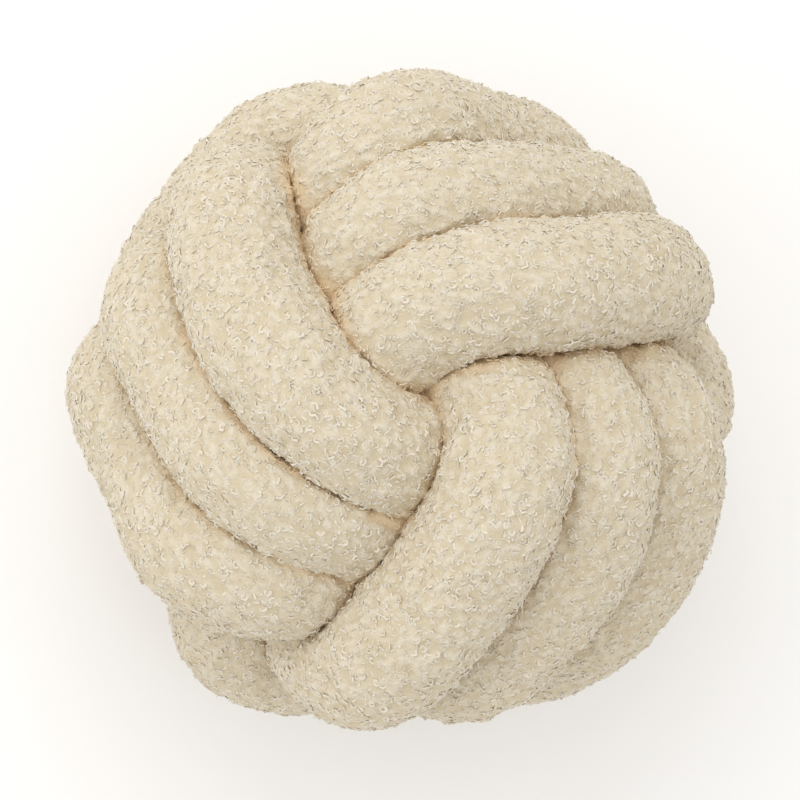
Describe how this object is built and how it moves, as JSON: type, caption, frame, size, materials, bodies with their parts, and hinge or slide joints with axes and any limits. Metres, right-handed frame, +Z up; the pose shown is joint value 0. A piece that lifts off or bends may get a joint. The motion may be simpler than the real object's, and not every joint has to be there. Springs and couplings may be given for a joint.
{
  "type": "knotted round pillow",
  "caption": "Round scatter pillow tied as a ball from one stuffed tube of cream curly fleece, lying on its back.",
  "frame": {"origin": "centre of the pillow's bounding box in plan, on the plane that it lies on", "axes": "+Z up, away from the surface it lies on, and the pillow's shortest side; +X to the right and +Y to the far side as the picture shows the pillow's face"},
  "size_m": [0.3, 0.2792, 0.2525],
  "materials": {
    "cream_curly_fleece": "matt looped pile fleece, cream"
  },
  "bodies": {
    "root": {"knotted_tube": "cream_curly_fleece"}
  },
  "joints": []
}
